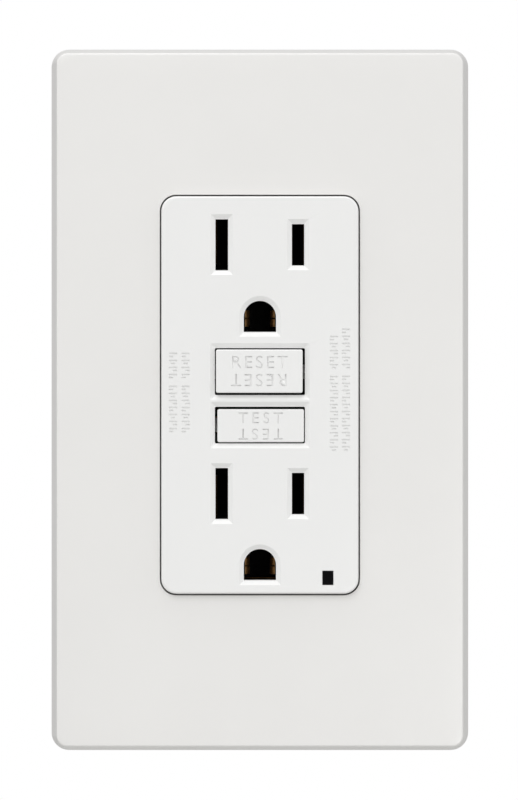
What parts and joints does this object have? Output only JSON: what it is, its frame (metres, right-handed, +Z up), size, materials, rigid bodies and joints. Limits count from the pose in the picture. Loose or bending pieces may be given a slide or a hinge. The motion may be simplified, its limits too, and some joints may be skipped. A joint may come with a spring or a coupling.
{
  "type": "gfci outlet",
  "caption": "Ground-fault duplex outlet with reset and test buttons, plug openings, steel strap, wire terminals and a clip-on screwless wall plate.",
  "frame": {"origin": "on the wall's surface, midway between the two box screws", "axes": "+X to the right, +Z up, and +Y into the wall; the face looks towards -Y"},
  "size_m": [0.0702, 0.036, 0.118],
  "materials": {
    "copper_arm": "spring copper alloy",
    "zinc_steel": "bright zinc plate",
    "ferrite": "sintered ferrite",
    "magnet_wire": "enamelled copper wire",
    "capacitor_can": "sleeved aluminium can",
    "carriage_plastic": "moulded nylon",
    "board": "green coated laminate",
    "chip_plastic": "black moulding compound",
    "silver_pad": "silver alloy contact",
    "face_plastic": "satin moulded thermoplastic, white",
    "brass": "rolled brass sheet",
    "green_screw": "green dyed zinc plate",
    "lens": "clear moulded light guide, dark when unlit",
    "spring_steel": "spring steel",
    "led_resin": "green tinted resin",
    "painted_screw": "zinc plated",
    "plunger_steel": "nickel plated steel",
    "housing_plastic": "moulded plastic, dark grey",
    "resistor_body": "lacquered ceramic",
    "separator_plastic": "moulded plastic, black",
    "bobbin_plastic": "moulded nylon, natural",
    "varistor_coat": "blue dipped epoxy",
    "plate_plastic": "satin moulded thermoplastic, white",
    "frame_plastic": "matt moulded plastic, white"
  },
  "bodies": {
    "outlet": {"arm_posts": "copper_arm", "assembly_screws": "zinc_steel", "balance_core": "ferrite", "balance_winding": "magnet_wire", "box_screws": "zinc_steel", "capacitors": "capacitor_can", "circuit_board": "board", "controller_chip": "chip_plastic", "diodes": "chip_plastic", "fixed_pads": "silver_pad", "front_cover": "face_plastic", "ground_contact_lower": "brass", "ground_contact_upper": "brass", "ground_screw": "green_screw", "hot_clamp_plates": "brass", "hot_contact_bar": "brass", "hot_line_terminal": "brass", "hot_terminal_screws": "brass", "indicator_lens": "lens", "led": "led_resin", "mounting_strap": "zinc_steel", "neutral_clamp_plates": "zinc_steel", "neutral_contact_bar": "brass", "neutral_line_terminal": "brass", "neutral_terminal_screws": "zinc_steel", "plate_screws": "painted_screw", "plunger_spring": "spring_steel", "rear_housing": "housing_plastic", "reset_spring": "spring_steel", "resistors": "resistor_body", "sensing_core": "ferrite", "sensing_winding": "magnet_wire", "separator": "separator_plastic", "solenoid_bobbin": "bobbin_plastic", "solenoid_frame": "zinc_steel", "solenoid_winding": "magnet_wire", "strap_rivets": "zinc_steel", "test_contact": "brass", "thyristor": "chip_plastic", "varistor": "varistor_coat", "wall_plate_cover": "plate_plastic", "wall_plate_frame": "frame_plastic"},
    "reset": {"reset_button": "face_plastic", "reset_pin": "spring_steel"},
    "test": {"test_button": "face_plastic"},
    "test_spring_arm": {"test_arm": "brass"},
    "carriage": {"carriage": "carriage_plastic"},
    "latch": {"latch_plate": "spring_steel"},
    "plunger": {"plunger": "plunger_steel"},
    "hot_arm": {"hot_contact_arm": "copper_arm", "hot_arm_pad": "silver_pad"},
    "neutral_arm": {"neutral_contact_arm": "copper_arm", "neutral_arm_pad": "silver_pad"}
  },
  "joints": [
    {"name": "reset_slide", "type": "slide", "parent": "outlet", "child": "reset", "axis": [0, 1, 0], "range_m": [0, 0.003], "stiffness_N_per_m": 250, "deforming": ["reset_spring"]},
    {"name": "test_slide", "type": "slide", "parent": "outlet", "child": "test", "axis": [0, 1, 0], "range_m": [0, 0.0012], "stiffness_N_per_m": 300},
    {"name": "test_arm_bend", "type": "hinge", "parent": "outlet", "child": "test_spring_arm", "pos_m": [-0.0076, 0.00245, -0.005], "axis": [0, 0, 1], "range_deg": [0, 7.06]},
    {"name": "carriage_slide", "type": "slide", "parent": "outlet", "child": "carriage", "axis": [0, 1, 0], "range_m": [-0.0015, 0], "stiffness_N_per_m": 200},
    {"name": "hot_arm_bend", "type": "hinge", "parent": "outlet", "child": "hot_arm", "pos_m": [0.0106, 0.0086, -0.0097], "axis": [1, 0, 0], "range_deg": [0, 3.74]},
    {"name": "neutral_arm_bend", "type": "hinge", "parent": "outlet", "child": "neutral_arm", "pos_m": [-0.0106, 0.0086, -0.0097], "axis": [1, 0, 0], "range_deg": [0, 3.74]},
    {"name": "latch_slide", "type": "slide", "parent": "carriage", "child": "latch", "axis": [0, 0, 1], "range_m": [0, 0.00105]},
    {"name": "plunger_slide", "type": "slide", "parent": "outlet", "child": "plunger", "axis": [0, 0, 1], "range_m": [0, 0.00105], "deforming": ["plunger_spring"]}
  ],
  "couplings": [
    {"joint": "latch_slide", "follows": "reset_slide", "ratio": 0.33333},
    {"joint": "plunger_slide", "follows": "reset_slide", "ratio": 0.33333},
    {"joint": "test_arm_bend", "follows": "test_slide", "rad_per_m": 98.33},
    {"joint": "hot_arm_bend", "follows": "carriage_slide", "rad_per_m": -40},
    {"joint": "neutral_arm_bend", "follows": "carriage_slide", "rad_per_m": -40}
  ]
}
